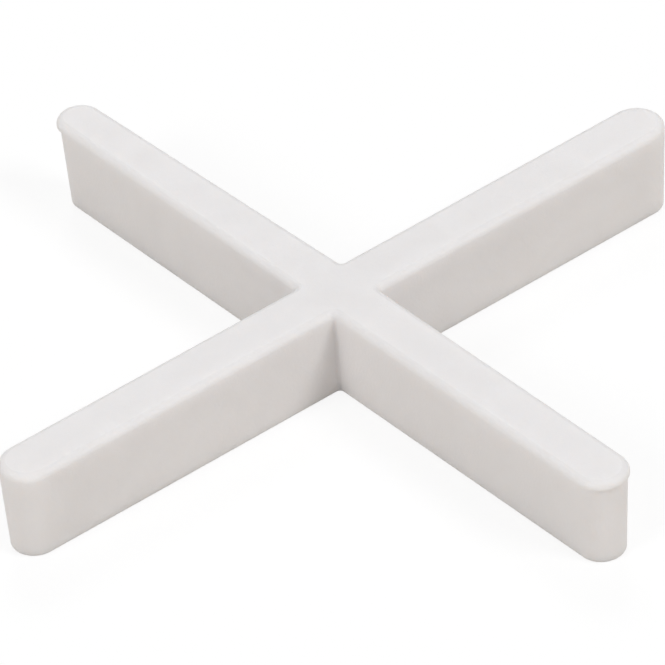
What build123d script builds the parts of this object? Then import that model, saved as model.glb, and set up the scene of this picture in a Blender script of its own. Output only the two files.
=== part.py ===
"""Cross-shaped tile spacer: one drafted plastic moulding that holds four tile corners apart.

The arms lie along X and Y and cross at the origin. The narrow foot is at z = 0 and the
wide top at z = height. All sizes are millimetres, and all angles are degrees.
"""

from build123d import *

import os
from math import atan2, cos, sin, tan

# Main sizes
joint_width = 2.0  # width of an arm at the top, which sets the gap between two tiles
span = 28.4  # from tip to tip of two opposite arms, lips apart
height = 3.5
draft_angle = 3.0  # lean of every side, so that the moulding leaves its cavity foot last

# Edges
top_edge = 0.25  # rounding of the top face's outline
foot_edge = 0.15  # rounding of the foot's outline
corner_fillet = 0.12  # rounding of the four upright corners where tiles seat

# One arm runs a little slimmer towards its tip, all of it on one side
slim_by = 0.35

# Two opposite tips carry a thin lip at the top, left where the moulding was fed and vented
lip_thickness = 0.3
feed_lip = 0.2  # overhang at the slim arm's tip
vent_lip = 0.1  # overhang at the tip opposite

# Bearing of each arm, what its tip loses in width, and how far its lip stands out
arms = (
    (0, 0.0, 0.0),
    (90, slim_by, feed_lip),
    (180, 0.0, 0.0),
    (270, 0.0, vent_lip),
)

top = Plane.XY.offset(height)
half_width = joint_width / 2


def arm_plan(bearing, tip_loss, lip=0.0):
    """One arm seen from above, from the middle of the cross to its full-round tip.

    One side runs straight along the arm. The other leans in, by tip_loss where the arm
    without a lip would end, and the round touches both sides and the line of the tip.
    """
    reach = span / 2 + lip
    lean = atan2(tip_loss, span / 2 - half_width)
    end_width = joint_width - (reach - half_width) * tan(lean)
    radius = end_width * cos(lean) / (1 + cos(lean) - sin(lean))
    centre = Vector(reach - radius, half_width - radius)
    lean_touch = centre + Vector(sin(lean), -cos(lean)) * radius
    with BuildSketch(Plane.XY.rotated((0, 0, bearing))) as plan:
        with BuildLine():
            straight_side = Line((0, half_width), (centre.X, half_width))
            round_tip = ThreePointArc(straight_side @ 1, (reach, centre.Y), lean_touch)
            Polyline(round_tip @ 1, (half_width, -half_width), (0, -half_width), (0, half_width))
        make_face()
    return plan.sketch


def lean_sides(piece):
    """Draft every side of the piece, so that it narrows from the top down."""
    draft(piece.faces().filter_by(Axis.Z, reverse=True), top, -draft_angle)


# The two lips are ends of one thin bar, which the cross takes up everywhere else
with BuildPart() as lip_bar:
    with BuildSketch(top):
        for bearing, tip_loss, lip in arms:
            if lip > 0:
                add(arm_plan(bearing, tip_loss, lip))
    extrude(amount=-lip_thickness)
    lean_sides(lip_bar)

# The cross, with its edges rounded once the lips are on it
with BuildPart() as tile_spacer:
    with BuildSketch(top):
        for bearing, tip_loss, lip in arms:
            add(arm_plan(bearing, tip_loss))
    extrude(amount=-height)
    lean_sides(tile_spacer)

    middle_edges = tile_spacer.edges().filter_by_position(Axis.X, -half_width, half_width)
    inner_corners = middle_edges.filter_by_position(Axis.Y, -half_width, half_width)
    fillet(inner_corners, corner_fillet)
    add(lip_bar.part)
    fillet(tile_spacer.faces().sort_by(Axis.Z)[-1].edges(), top_edge)
    fillet(tile_spacer.faces().sort_by(Axis.Z)[0].edges(), foot_edge)

tile_spacer.part.label = "tile_spacer"

os.makedirs("parts", exist_ok=True)
export_step(tile_spacer.part, "parts/tile_spacer.step")
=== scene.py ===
"""Milky plastic tile spacer on a pale studio floor, laid out as an add-on and run as a script.

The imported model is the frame: one moulding, already at its real size and place, in metres.
Its operators give the moulding its plastic and build the floor, the lamps and the camera.
"""

import math

import bpy
from bpy.props import FloatProperty, FloatVectorProperty, PointerProperty
from bpy.types import Operator, Panel, PropertyGroup
from mathutils import Matrix, Vector


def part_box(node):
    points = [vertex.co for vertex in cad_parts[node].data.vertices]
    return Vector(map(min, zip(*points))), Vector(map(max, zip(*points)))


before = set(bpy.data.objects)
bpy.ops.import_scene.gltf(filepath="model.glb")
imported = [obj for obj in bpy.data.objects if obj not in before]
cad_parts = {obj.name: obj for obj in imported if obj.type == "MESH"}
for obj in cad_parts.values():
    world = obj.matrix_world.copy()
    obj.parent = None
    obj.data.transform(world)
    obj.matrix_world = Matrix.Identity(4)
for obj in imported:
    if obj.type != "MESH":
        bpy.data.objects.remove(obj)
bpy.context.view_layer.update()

bl_info = {
    "name": "Tile Spacer",
    "version": (1, 0, 0),
    "blender": (4, 5, 0),
    "location": "View3D > Sidebar > Tile Spacer",
    "description": "Finishes a cross-shaped tile spacer in milky plastic and stages it",
    "category": "Object",
}

SPACER_NODE = "tile_spacer"
MM = 0.001  # metres
WHITE = (1.0, 1.0, 1.0, 1.0)

PLASTIC_IOR = 1.5
SPECULAR_LEVEL = 0.25  # the photograph shows hardly any gloss
SCATTER_SHARES = (1.0, 0.95, 0.9)  # red goes a little further into the plastic than blue

# Finer layers in each noise texture, and how far the clouds swirl
CLOUD_DETAIL = 3.0
CLOUD_SWIRL = 1.2
GRAIN_DETAIL = 2.0
RIPPLE_DETAIL = 1.0
NOISE_LOW, NOISE_HIGH = 0.35, 0.65  # noise keeps near its middle, seldom past these

# Painted shade on the top's rounded outline: turn of the skin down from level, from where to where
# the colour is darkest, and from where on it is as light as the sides
PAINTED_SHADE_DARKEST = (math.radians(7), math.radians(26))
PAINTED_SHADE_END = math.radians(58)

FLOOR_SIDE = 4.0  # metres
FLOOR_GAP = 0.01 * MM  # keeps the floor and the spacer's foot from sharing one plane

# Name of each lamp, bearing from the camera's own towards the picture's right, and tilt from upright
LAMPS = (
    ("right_lamp", math.radians(60), math.radians(45)),
    ("left_lamp", math.radians(-50), math.radians(52)),
    ("back_lamp", math.radians(180), math.radians(40)),
)

PICTURE_SIDE = 665  # pixels, the picture is square
SENSOR_WIDTH = 36.0  # millimetres
CAMERA_REACH = (0.01, 10.0)  # nearest and furthest that the camera sees, in metres


class SpacerPlasticSettings(PropertyGroup):
    """Colour and surface of the milky plastic."""

    plastic_colour: FloatVectorProperty(
        name="Plastic colour",
        description="Colour of the milky plastic in plain light",
        subtype="COLOR",
        size=3,
        min=0.0,
        max=1.0,
        default=(0.857, 0.841, 0.844),
    )
    cloud_colour: FloatVectorProperty(
        name="Cloud colour",
        description="Colour of the faint clouds, where less light comes back out of the plastic",
        subtype="COLOR",
        size=3,
        min=0.0,
        max=1.0,
        default=(0.838, 0.821, 0.822),
    )
    cloud_size: FloatProperty(
        name="Cloud size",
        description="Width of the faint clouds that the flowing plastic left",
        subtype="DISTANCE",
        unit="LENGTH",
        min=0.1 * MM,
        default=3.0 * MM,
    )
    # Painted shade: how much darker the colour is made on the top's rounded outline, standing in for the
    # shading there
    outline_painted_shade: FloatProperty(
        name="Rim shade",
        description="How much darker the top's rounded outline looks, as light leaks out of it",
        subtype="FACTOR",
        min=0.0,
        max=1.0,
        default=0.047,
    )
    scatter_depth: FloatProperty(
        name="Scatter depth",
        description="How far light travels inside the plastic before it comes out",
        subtype="DISTANCE",
        unit="LENGTH",
        min=0.0,
        default=0.6 * MM,
    )
    roughness: FloatProperty(
        name="Roughness",
        description="Mean roughness of the moulded skin",
        subtype="FACTOR",
        min=0.0,
        max=1.0,
        default=0.5,
    )
    roughness_spread: FloatProperty(
        name="Roughness spread",
        description="How far the fine grain takes the roughness from its mean, at most",
        subtype="FACTOR",
        min=0.0,
        max=1.0,
        default=0.1,
    )
    grain_size: FloatProperty(
        name="Grain size",
        description="Width of the fine grain that the mould left on the skin",
        subtype="DISTANCE",
        unit="LENGTH",
        min=0.01 * MM,
        default=0.1 * MM,
    )
    grain_height: FloatProperty(
        name="Grain height",
        description="Height of the fine grain",
        subtype="DISTANCE",
        unit="LENGTH",
        min=0.0,
        default=0.015 * MM,
    )
    ripple_size: FloatProperty(
        name="Ripple size",
        description="Width of the slow ripples that the skin got as the plastic shrank",
        subtype="DISTANCE",
        unit="LENGTH",
        min=0.1 * MM,
        default=1.6 * MM,
    )
    ripple_height: FloatProperty(
        name="Ripple height",
        description="Height of the slow ripples",
        subtype="DISTANCE",
        unit="LENGTH",
        min=0.0,
        default=0.08 * MM,
    )


class SpacerStageSettings(PropertyGroup):
    """Floor, lamps and camera round the spacer."""

    floor_bounce: FloatVectorProperty(
        name="Floor bounce colour",
        description="Colour of the light that the floor throws back at the spacer",
        subtype="COLOR",
        size=3,
        min=0.0,
        max=1.0,
        default=(0.775, 0.725, 0.665),
    )
    floor_shadow: FloatProperty(
        name="Floor shadow",
        description="Share of the floor's brightness that the spacer's shadow can take away",
        subtype="FACTOR",
        min=0.0,
        max=1.0,
        default=0.18,
    )
    world_level: FloatProperty(
        name="World",
        description="Level of the even light from all round",
        min=0.0,
        default=0.38,
    )
    lamp_levels: FloatVectorProperty(
        name="Lamps",
        description="Levels of the lamps at the front right, at the front left and behind",
        size=3,
        min=0.0,
        default=(0.34, 0.285, 0.15),
    )
    lamp_softness: FloatProperty(
        name="Lamp softness",
        description="Width of each lamp as the spacer sees it",
        subtype="ANGLE",
        unit="ROTATION",
        default=math.radians(20),
    )
    camera_azimuth: FloatProperty(
        name="Camera azimuth",
        description="Bearing of the camera's view, where zero looks along +Y",
        subtype="ANGLE",
        unit="ROTATION",
        default=math.radians(-37.18),
    )
    camera_elevation: FloatProperty(
        name="Camera elevation",
        description="Height of the camera above the floor as an angle",
        subtype="ANGLE",
        unit="ROTATION",
        default=math.radians(37.47),
    )
    camera_roll: FloatProperty(
        name="Camera roll",
        description="Turn of the camera about its own line of sight",
        subtype="ANGLE",
        unit="ROTATION",
        default=math.radians(-4.29),
    )
    camera_distance: FloatProperty(
        name="Camera distance",
        description="Distance from the camera to the middle of the spacer",
        subtype="DISTANCE",
        unit="LENGTH",
        default=326.2 * MM,
    )
    camera_offset: FloatVectorProperty(
        name="Camera offset",
        description="How far right and up of the picture's middle the spacer's middle lies",
        subtype="XYZ",
        unit="LENGTH",
        size=2,
        default=(0.267 * MM, 0.127 * MM),
    )
    pixels_per_mm: FloatProperty(
        name="Scale in the picture",
        description="Pixels that one millimetre at the spacer's middle takes in the picture",
        default=29.932,
    )


def add_node(tree, kind, label, place, **settings):
    """One shader node with a name, a place in the editor and some of its own settings."""
    node = tree.nodes.new(kind)
    node.name = node.label = label
    node.location = place
    for name, value in settings.items():
        setattr(node, name, value)
    return node


def socket(sockets, name):
    """The socket of that name that the node has on in its present mode."""
    return next(one for one in sockets if one.name == name and one.enabled)


def noise(tree, label, place, width, vector, **inputs):
    """Noise texture whose features are about as wide as given, in metres."""
    texture = add_node(tree, "ShaderNodeTexNoise", label, place)
    texture.inputs["Scale"].default_value = 1.0 / width
    for name, value in inputs.items():
        texture.inputs[name].default_value = value
    tree.links.new(vector, texture.inputs["Vector"])
    return texture.outputs["Fac"]


def painted_shade_tone(tree, normal, shade):
    """Grey that is white on the flat faces and a little darker on the top's rounded outline: painted shade,
    set by which way the skin faces.
    """
    upward = add_node(tree, "ShaderNodeSeparateXYZ", "upward", (-1050, 600))
    tree.links.new(normal, upward.inputs[0])
    painted_shade_ramp = add_node(tree, "ShaderNodeValToRGB", "painted_shade_ramp", (-850, 600))
    tree.links.new(upward.outputs["Z"], painted_shade_ramp.inputs["Fac"])
    tones = painted_shade_ramp.color_ramp.elements
    tones[0].position = math.cos(PAINTED_SHADE_END)
    tones[0].color = WHITE
    for turn in PAINTED_SHADE_DARKEST:
        tones.new(math.cos(turn)).color = (1.0 - shade, 1.0 - shade, 1.0 - shade, 1.0)
    return painted_shade_ramp.outputs["Color"]


def milky_plastic(settings):
    """Material of the spacer: satin moulded skin over plastic that light goes some way into.

    Faint clouds vary the colour, painted shade darkens it on the top's rounded outline, the mould's fine
    grain varies the roughness, and both the grain and slow ripples stand in the skin's relief.
    """
    material = bpy.data.materials.new("milky_plastic")
    material.use_nodes = True
    tree = material.node_tree
    plastic = tree.nodes["Principled BSDF"]
    plastic.inputs["IOR"].default_value = PLASTIC_IOR
    plastic.inputs["Specular IOR Level"].default_value = SPECULAR_LEVEL
    plastic.inputs["Subsurface Weight"].default_value = 1.0
    plastic.inputs["Subsurface Radius"].default_value = SCATTER_SHARES
    plastic.inputs["Subsurface Scale"].default_value = settings.scatter_depth

    coordinates = add_node(tree, "ShaderNodeTexCoord", "coordinates", (-1300, 0)).outputs
    place = coordinates["Object"]
    swirl = {"Detail": CLOUD_DETAIL, "Distortion": CLOUD_SWIRL}
    clouds = noise(tree, "clouds", (-1050, 300), settings.cloud_size, place, **swirl)
    grain = noise(tree, "grain", (-1050, 0), settings.grain_size, place, Detail=GRAIN_DETAIL)
    ripples = noise(tree, "ripples", (-1050, -300), settings.ripple_size, place, Detail=RIPPLE_DETAIL)

    density = add_node(tree, "ShaderNodeMapRange", "density", (-750, 300))
    density.inputs["From Min"].default_value = NOISE_LOW
    density.inputs["From Max"].default_value = NOISE_HIGH
    tree.links.new(clouds, density.inputs["Value"])
    colour = add_node(tree, "ShaderNodeMix", "colour", (-450, 300), data_type="RGBA")
    socket(colour.inputs, "A").default_value = (*settings.cloud_colour, 1.0)
    socket(colour.inputs, "B").default_value = (*settings.plastic_colour, 1.0)
    tree.links.new(density.outputs["Result"], socket(colour.inputs, "Factor"))
    # Painted shade: the colour is multiplied by a grey that is darker on the top's rounded outline
    colour_with_painted_shade = add_node(tree, "ShaderNodeMix", "colour_with_painted_shade", (-200, 300), data_type="RGBA", blend_type="MULTIPLY")
    socket(colour_with_painted_shade.inputs, "Factor").default_value = 1.0
    tree.links.new(socket(colour.outputs, "Result"), socket(colour_with_painted_shade.inputs, "A"))
    tree.links.new(painted_shade_tone(tree, coordinates["Normal"], settings.outline_painted_shade), socket(colour_with_painted_shade.inputs, "B"))
    tree.links.new(socket(colour_with_painted_shade.outputs, "Result"), plastic.inputs["Base Color"])

    sheen = add_node(tree, "ShaderNodeMapRange", "sheen", (-450, 0))
    sheen.inputs["To Min"].default_value = settings.roughness - settings.roughness_spread
    sheen.inputs["To Max"].default_value = settings.roughness + settings.roughness_spread
    tree.links.new(grain, sheen.inputs["Value"])
    tree.links.new(sheen.outputs["Result"], plastic.inputs["Roughness"])

    rippled = add_node(tree, "ShaderNodeBump", "rippled", (-650, -300))
    rippled.inputs["Distance"].default_value = settings.ripple_height
    grained = add_node(tree, "ShaderNodeBump", "grained", (-350, -300))
    grained.inputs["Distance"].default_value = settings.grain_height
    tree.links.new(ripples, rippled.inputs["Height"])
    tree.links.new(grain, grained.inputs["Height"])
    tree.links.new(rippled.outputs["Normal"], grained.inputs["Normal"])
    tree.links.new(grained.outputs["Normal"], plastic.inputs["Normal"])
    return material


class SPACER_OT_finish(Operator):
    """Give the moulded spacer its milky plastic"""

    bl_idname = "spacer.finish"
    bl_label = "Finish Spacer"

    def execute(self, context):
        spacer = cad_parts[SPACER_NODE]
        spacer.data.materials.clear()
        spacer.data.materials.append(milky_plastic(context.scene.spacer_plastic))
        return {"FINISHED"}


def background_rays(tree):
    """Mask of the rays that should meet the plain white background: seen, mirrored or let through."""
    path = add_node(tree, "ShaderNodeLightPath", "path", (-800, 400))
    seen = add_node(tree, "ShaderNodeMath", "seen_or_mirrored", (-600, 400), operation="MAXIMUM")
    mask = add_node(tree, "ShaderNodeMath", "or_let_through", (-400, 400), operation="MAXIMUM")
    tree.links.new(path.outputs["Is Camera Ray"], seen.inputs[0])
    tree.links.new(path.outputs["Is Glossy Ray"], seen.inputs[1])
    tree.links.new(seen.outputs[0], mask.inputs[0])
    tree.links.new(path.outputs["Is Transmission Ray"], mask.inputs[1])
    return mask.outputs[0]


def pale_floor(settings):
    """Material of the floor: white to the eye but for the spacer's soft shadow.

    What it throws back at the spacer has its own colour, and from below it isn't seen at all.
    """
    material = bpy.data.materials.new("pale_floor")
    material.use_nodes = True
    tree = material.node_tree
    tree.nodes.remove(tree.nodes["Principled BSDF"])
    bounce = add_node(tree, "ShaderNodeBsdfDiffuse", "bounce", (-400, 100))
    bounce.inputs["Color"].default_value = (*settings.floor_bounce, 1.0)

    # The glow makes up what the shadow-catching part lacks to be white where nothing shades it
    share = settings.floor_shadow
    catcher = add_node(tree, "ShaderNodeBsdfDiffuse", "catcher", (-400, -100))
    catcher.inputs["Color"].default_value = (share, share, share, 1.0)
    glow = add_node(tree, "ShaderNodeEmission", "glow", (-400, -300))
    glow.inputs["Strength"].default_value = 1.0 - share * open_floor_level(settings)
    white = add_node(tree, "ShaderNodeAddShader", "white", (-200, -200))
    tree.links.new(catcher.outputs[0], white.inputs[0])
    tree.links.new(glow.outputs[0], white.inputs[1])

    side = add_node(tree, "ShaderNodeNewGeometry", "side", (-400, -500))
    nothing = add_node(tree, "ShaderNodeBsdfTransparent", "nothing", (-200, -400))
    visible = add_node(tree, "ShaderNodeMixShader", "visible", (0, -300))
    tree.links.new(side.outputs["Backfacing"], visible.inputs[0])
    tree.links.new(white.outputs[0], visible.inputs[1])
    tree.links.new(nothing.outputs[0], visible.inputs[2])

    surface = add_node(tree, "ShaderNodeMixShader", "surface", (200, 0))
    tree.links.new(background_rays(tree), surface.inputs[0])
    tree.links.new(bounce.outputs[0], surface.inputs[1])
    tree.links.new(visible.outputs[0], surface.inputs[2])
    tree.links.new(surface.outputs[0], tree.nodes["Material Output"].inputs["Surface"])
    return material


def open_floor_level(settings):
    """Level of light on a part of the floor that nothing shades."""
    lamps = zip(LAMPS, settings.lamp_levels)
    return settings.world_level + sum(level * math.cos(tilt) for (_, _, tilt), level in lamps)


def stage_floor(settings):
    """Square floor under the spacer."""
    edge = FLOOR_SIDE / 2
    mesh = bpy.data.meshes.new("floor")
    corners = [(x, y, -FLOOR_GAP) for x, y in ((-edge, -edge), (edge, -edge), (edge, edge), (-edge, edge))]
    mesh.from_pydata(corners, [], [(0, 1, 2, 3)])
    mesh.materials.append(pale_floor(settings))
    floor = bpy.data.objects.new("floor", mesh)
    bpy.context.scene.collection.objects.link(floor)


def stage_world(settings):
    """Even light from all round, and a white background behind everything."""
    world = bpy.data.worlds.new("studio")
    world.use_nodes = True
    bpy.context.scene.world = world
    tree = world.node_tree
    light = tree.nodes["Background"]
    light.inputs["Color"].default_value = WHITE
    light.inputs["Strength"].default_value = settings.world_level
    white = add_node(tree, "ShaderNodeBackground", "white", (0, -200))
    white.inputs["Color"].default_value = WHITE
    choice = add_node(tree, "ShaderNodeMixShader", "choice", (200, 0))
    tree.links.new(background_rays(tree), choice.inputs[0])
    tree.links.new(light.outputs[0], choice.inputs[1])
    tree.links.new(white.outputs[0], choice.inputs[2])
    tree.links.new(choice.outputs[0], tree.nodes["World Output"].inputs["Surface"])


def direction(azimuth, elevation):
    """Unit vector from the spacer towards where a view of that azimuth and elevation is seen from."""
    level = math.cos(elevation)
    return Vector((math.sin(azimuth) * level, -math.cos(azimuth) * level, math.sin(elevation)))


def stage_lamps(settings):
    """Soft lamps far away, so that they light the floor as evenly as the spacer.

    At level 1, a white surface that faces the lamp is just white in the picture.
    """
    for (name, bearing, tilt), level in zip(LAMPS, settings.lamp_levels):
        lamp = bpy.data.lights.new(name, "SUN")
        lamp.angle = settings.lamp_softness
        lamp.energy = level * math.pi
        holder = bpy.data.objects.new(name, lamp)
        bpy.context.scene.collection.objects.link(holder)
        towards = direction(settings.camera_azimuth + bearing, math.pi / 2 - tilt)
        holder.location = towards
        holder.rotation_euler = towards.to_track_quat("Z", "Y").to_euler()


def stage_camera(settings):
    """Camera at the photograph's viewing angle and framing."""
    azimuth, roll = settings.camera_azimuth, settings.camera_roll
    back = direction(azimuth, settings.camera_elevation)
    level_right = Vector((math.cos(azimuth), math.sin(azimuth), 0.0))
    level_up = back.cross(level_right)
    right = math.cos(roll) * level_right + math.sin(roll) * level_up
    up = math.cos(roll) * level_up - math.sin(roll) * level_right

    camera = bpy.data.cameras.new("camera")
    camera.sensor_width = SENSOR_WIDTH
    pixels_per_metre = settings.pixels_per_mm / MM
    camera.lens = pixels_per_metre * settings.camera_distance * SENSOR_WIDTH / PICTURE_SIDE
    camera.clip_start, camera.clip_end = CAMERA_REACH
    holder = bpy.data.objects.new("camera", camera)
    bpy.context.scene.collection.objects.link(holder)
    low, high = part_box(SPACER_NODE)
    place = Vector((0.0, 0.0, high.z / 2)) + back * settings.camera_distance
    place -= right * settings.camera_offset[0] + up * settings.camera_offset[1]
    turn = Matrix((right, up, back)).transposed().to_4x4()
    holder.matrix_world = Matrix.Translation(place) @ turn
    bpy.context.scene.camera = holder


class SPACER_OT_stage(Operator):
    """Build the floor, the lamps and the camera"""

    bl_idname = "spacer.stage"
    bl_label = "Stage Spacer"

    def execute(self, context):
        settings = context.scene.spacer_stage
        context.scene.view_settings.view_transform = "Standard"
        stage_floor(settings)
        stage_world(settings)
        stage_lamps(settings)
        stage_camera(settings)
        return {"FINISHED"}


class SPACER_PT_panel(Panel):
    """The spacer's operators and settings in the sidebar"""

    bl_idname = "SPACER_PT_panel"
    bl_label = "Tile Spacer"
    bl_space_type = "VIEW_3D"
    bl_region_type = "UI"
    bl_category = "Tile Spacer"

    def draw(self, context):
        layout = self.layout
        for settings in (context.scene.spacer_plastic, context.scene.spacer_stage):
            for name in settings.__annotations__:
                layout.prop(settings, name)
        layout.operator(SPACER_OT_finish.bl_idname)
        layout.operator(SPACER_OT_stage.bl_idname)


CLASSES = (SpacerPlasticSettings, SpacerStageSettings, SPACER_OT_finish, SPACER_OT_stage, SPACER_PT_panel)


def register():
    for cls in CLASSES:
        bpy.utils.register_class(cls)
    bpy.types.Scene.spacer_plastic = PointerProperty(type=SpacerPlasticSettings)
    bpy.types.Scene.spacer_stage = PointerProperty(type=SpacerStageSettings)


def unregister():
    del bpy.types.Scene.spacer_stage
    del bpy.types.Scene.spacer_plastic
    for cls in reversed(CLASSES):
        bpy.utils.unregister_class(cls)


def main():
    """Build everything."""
    register()
    bpy.ops.spacer.finish()
    bpy.ops.spacer.stage()


if __name__ == "__main__":
    main()
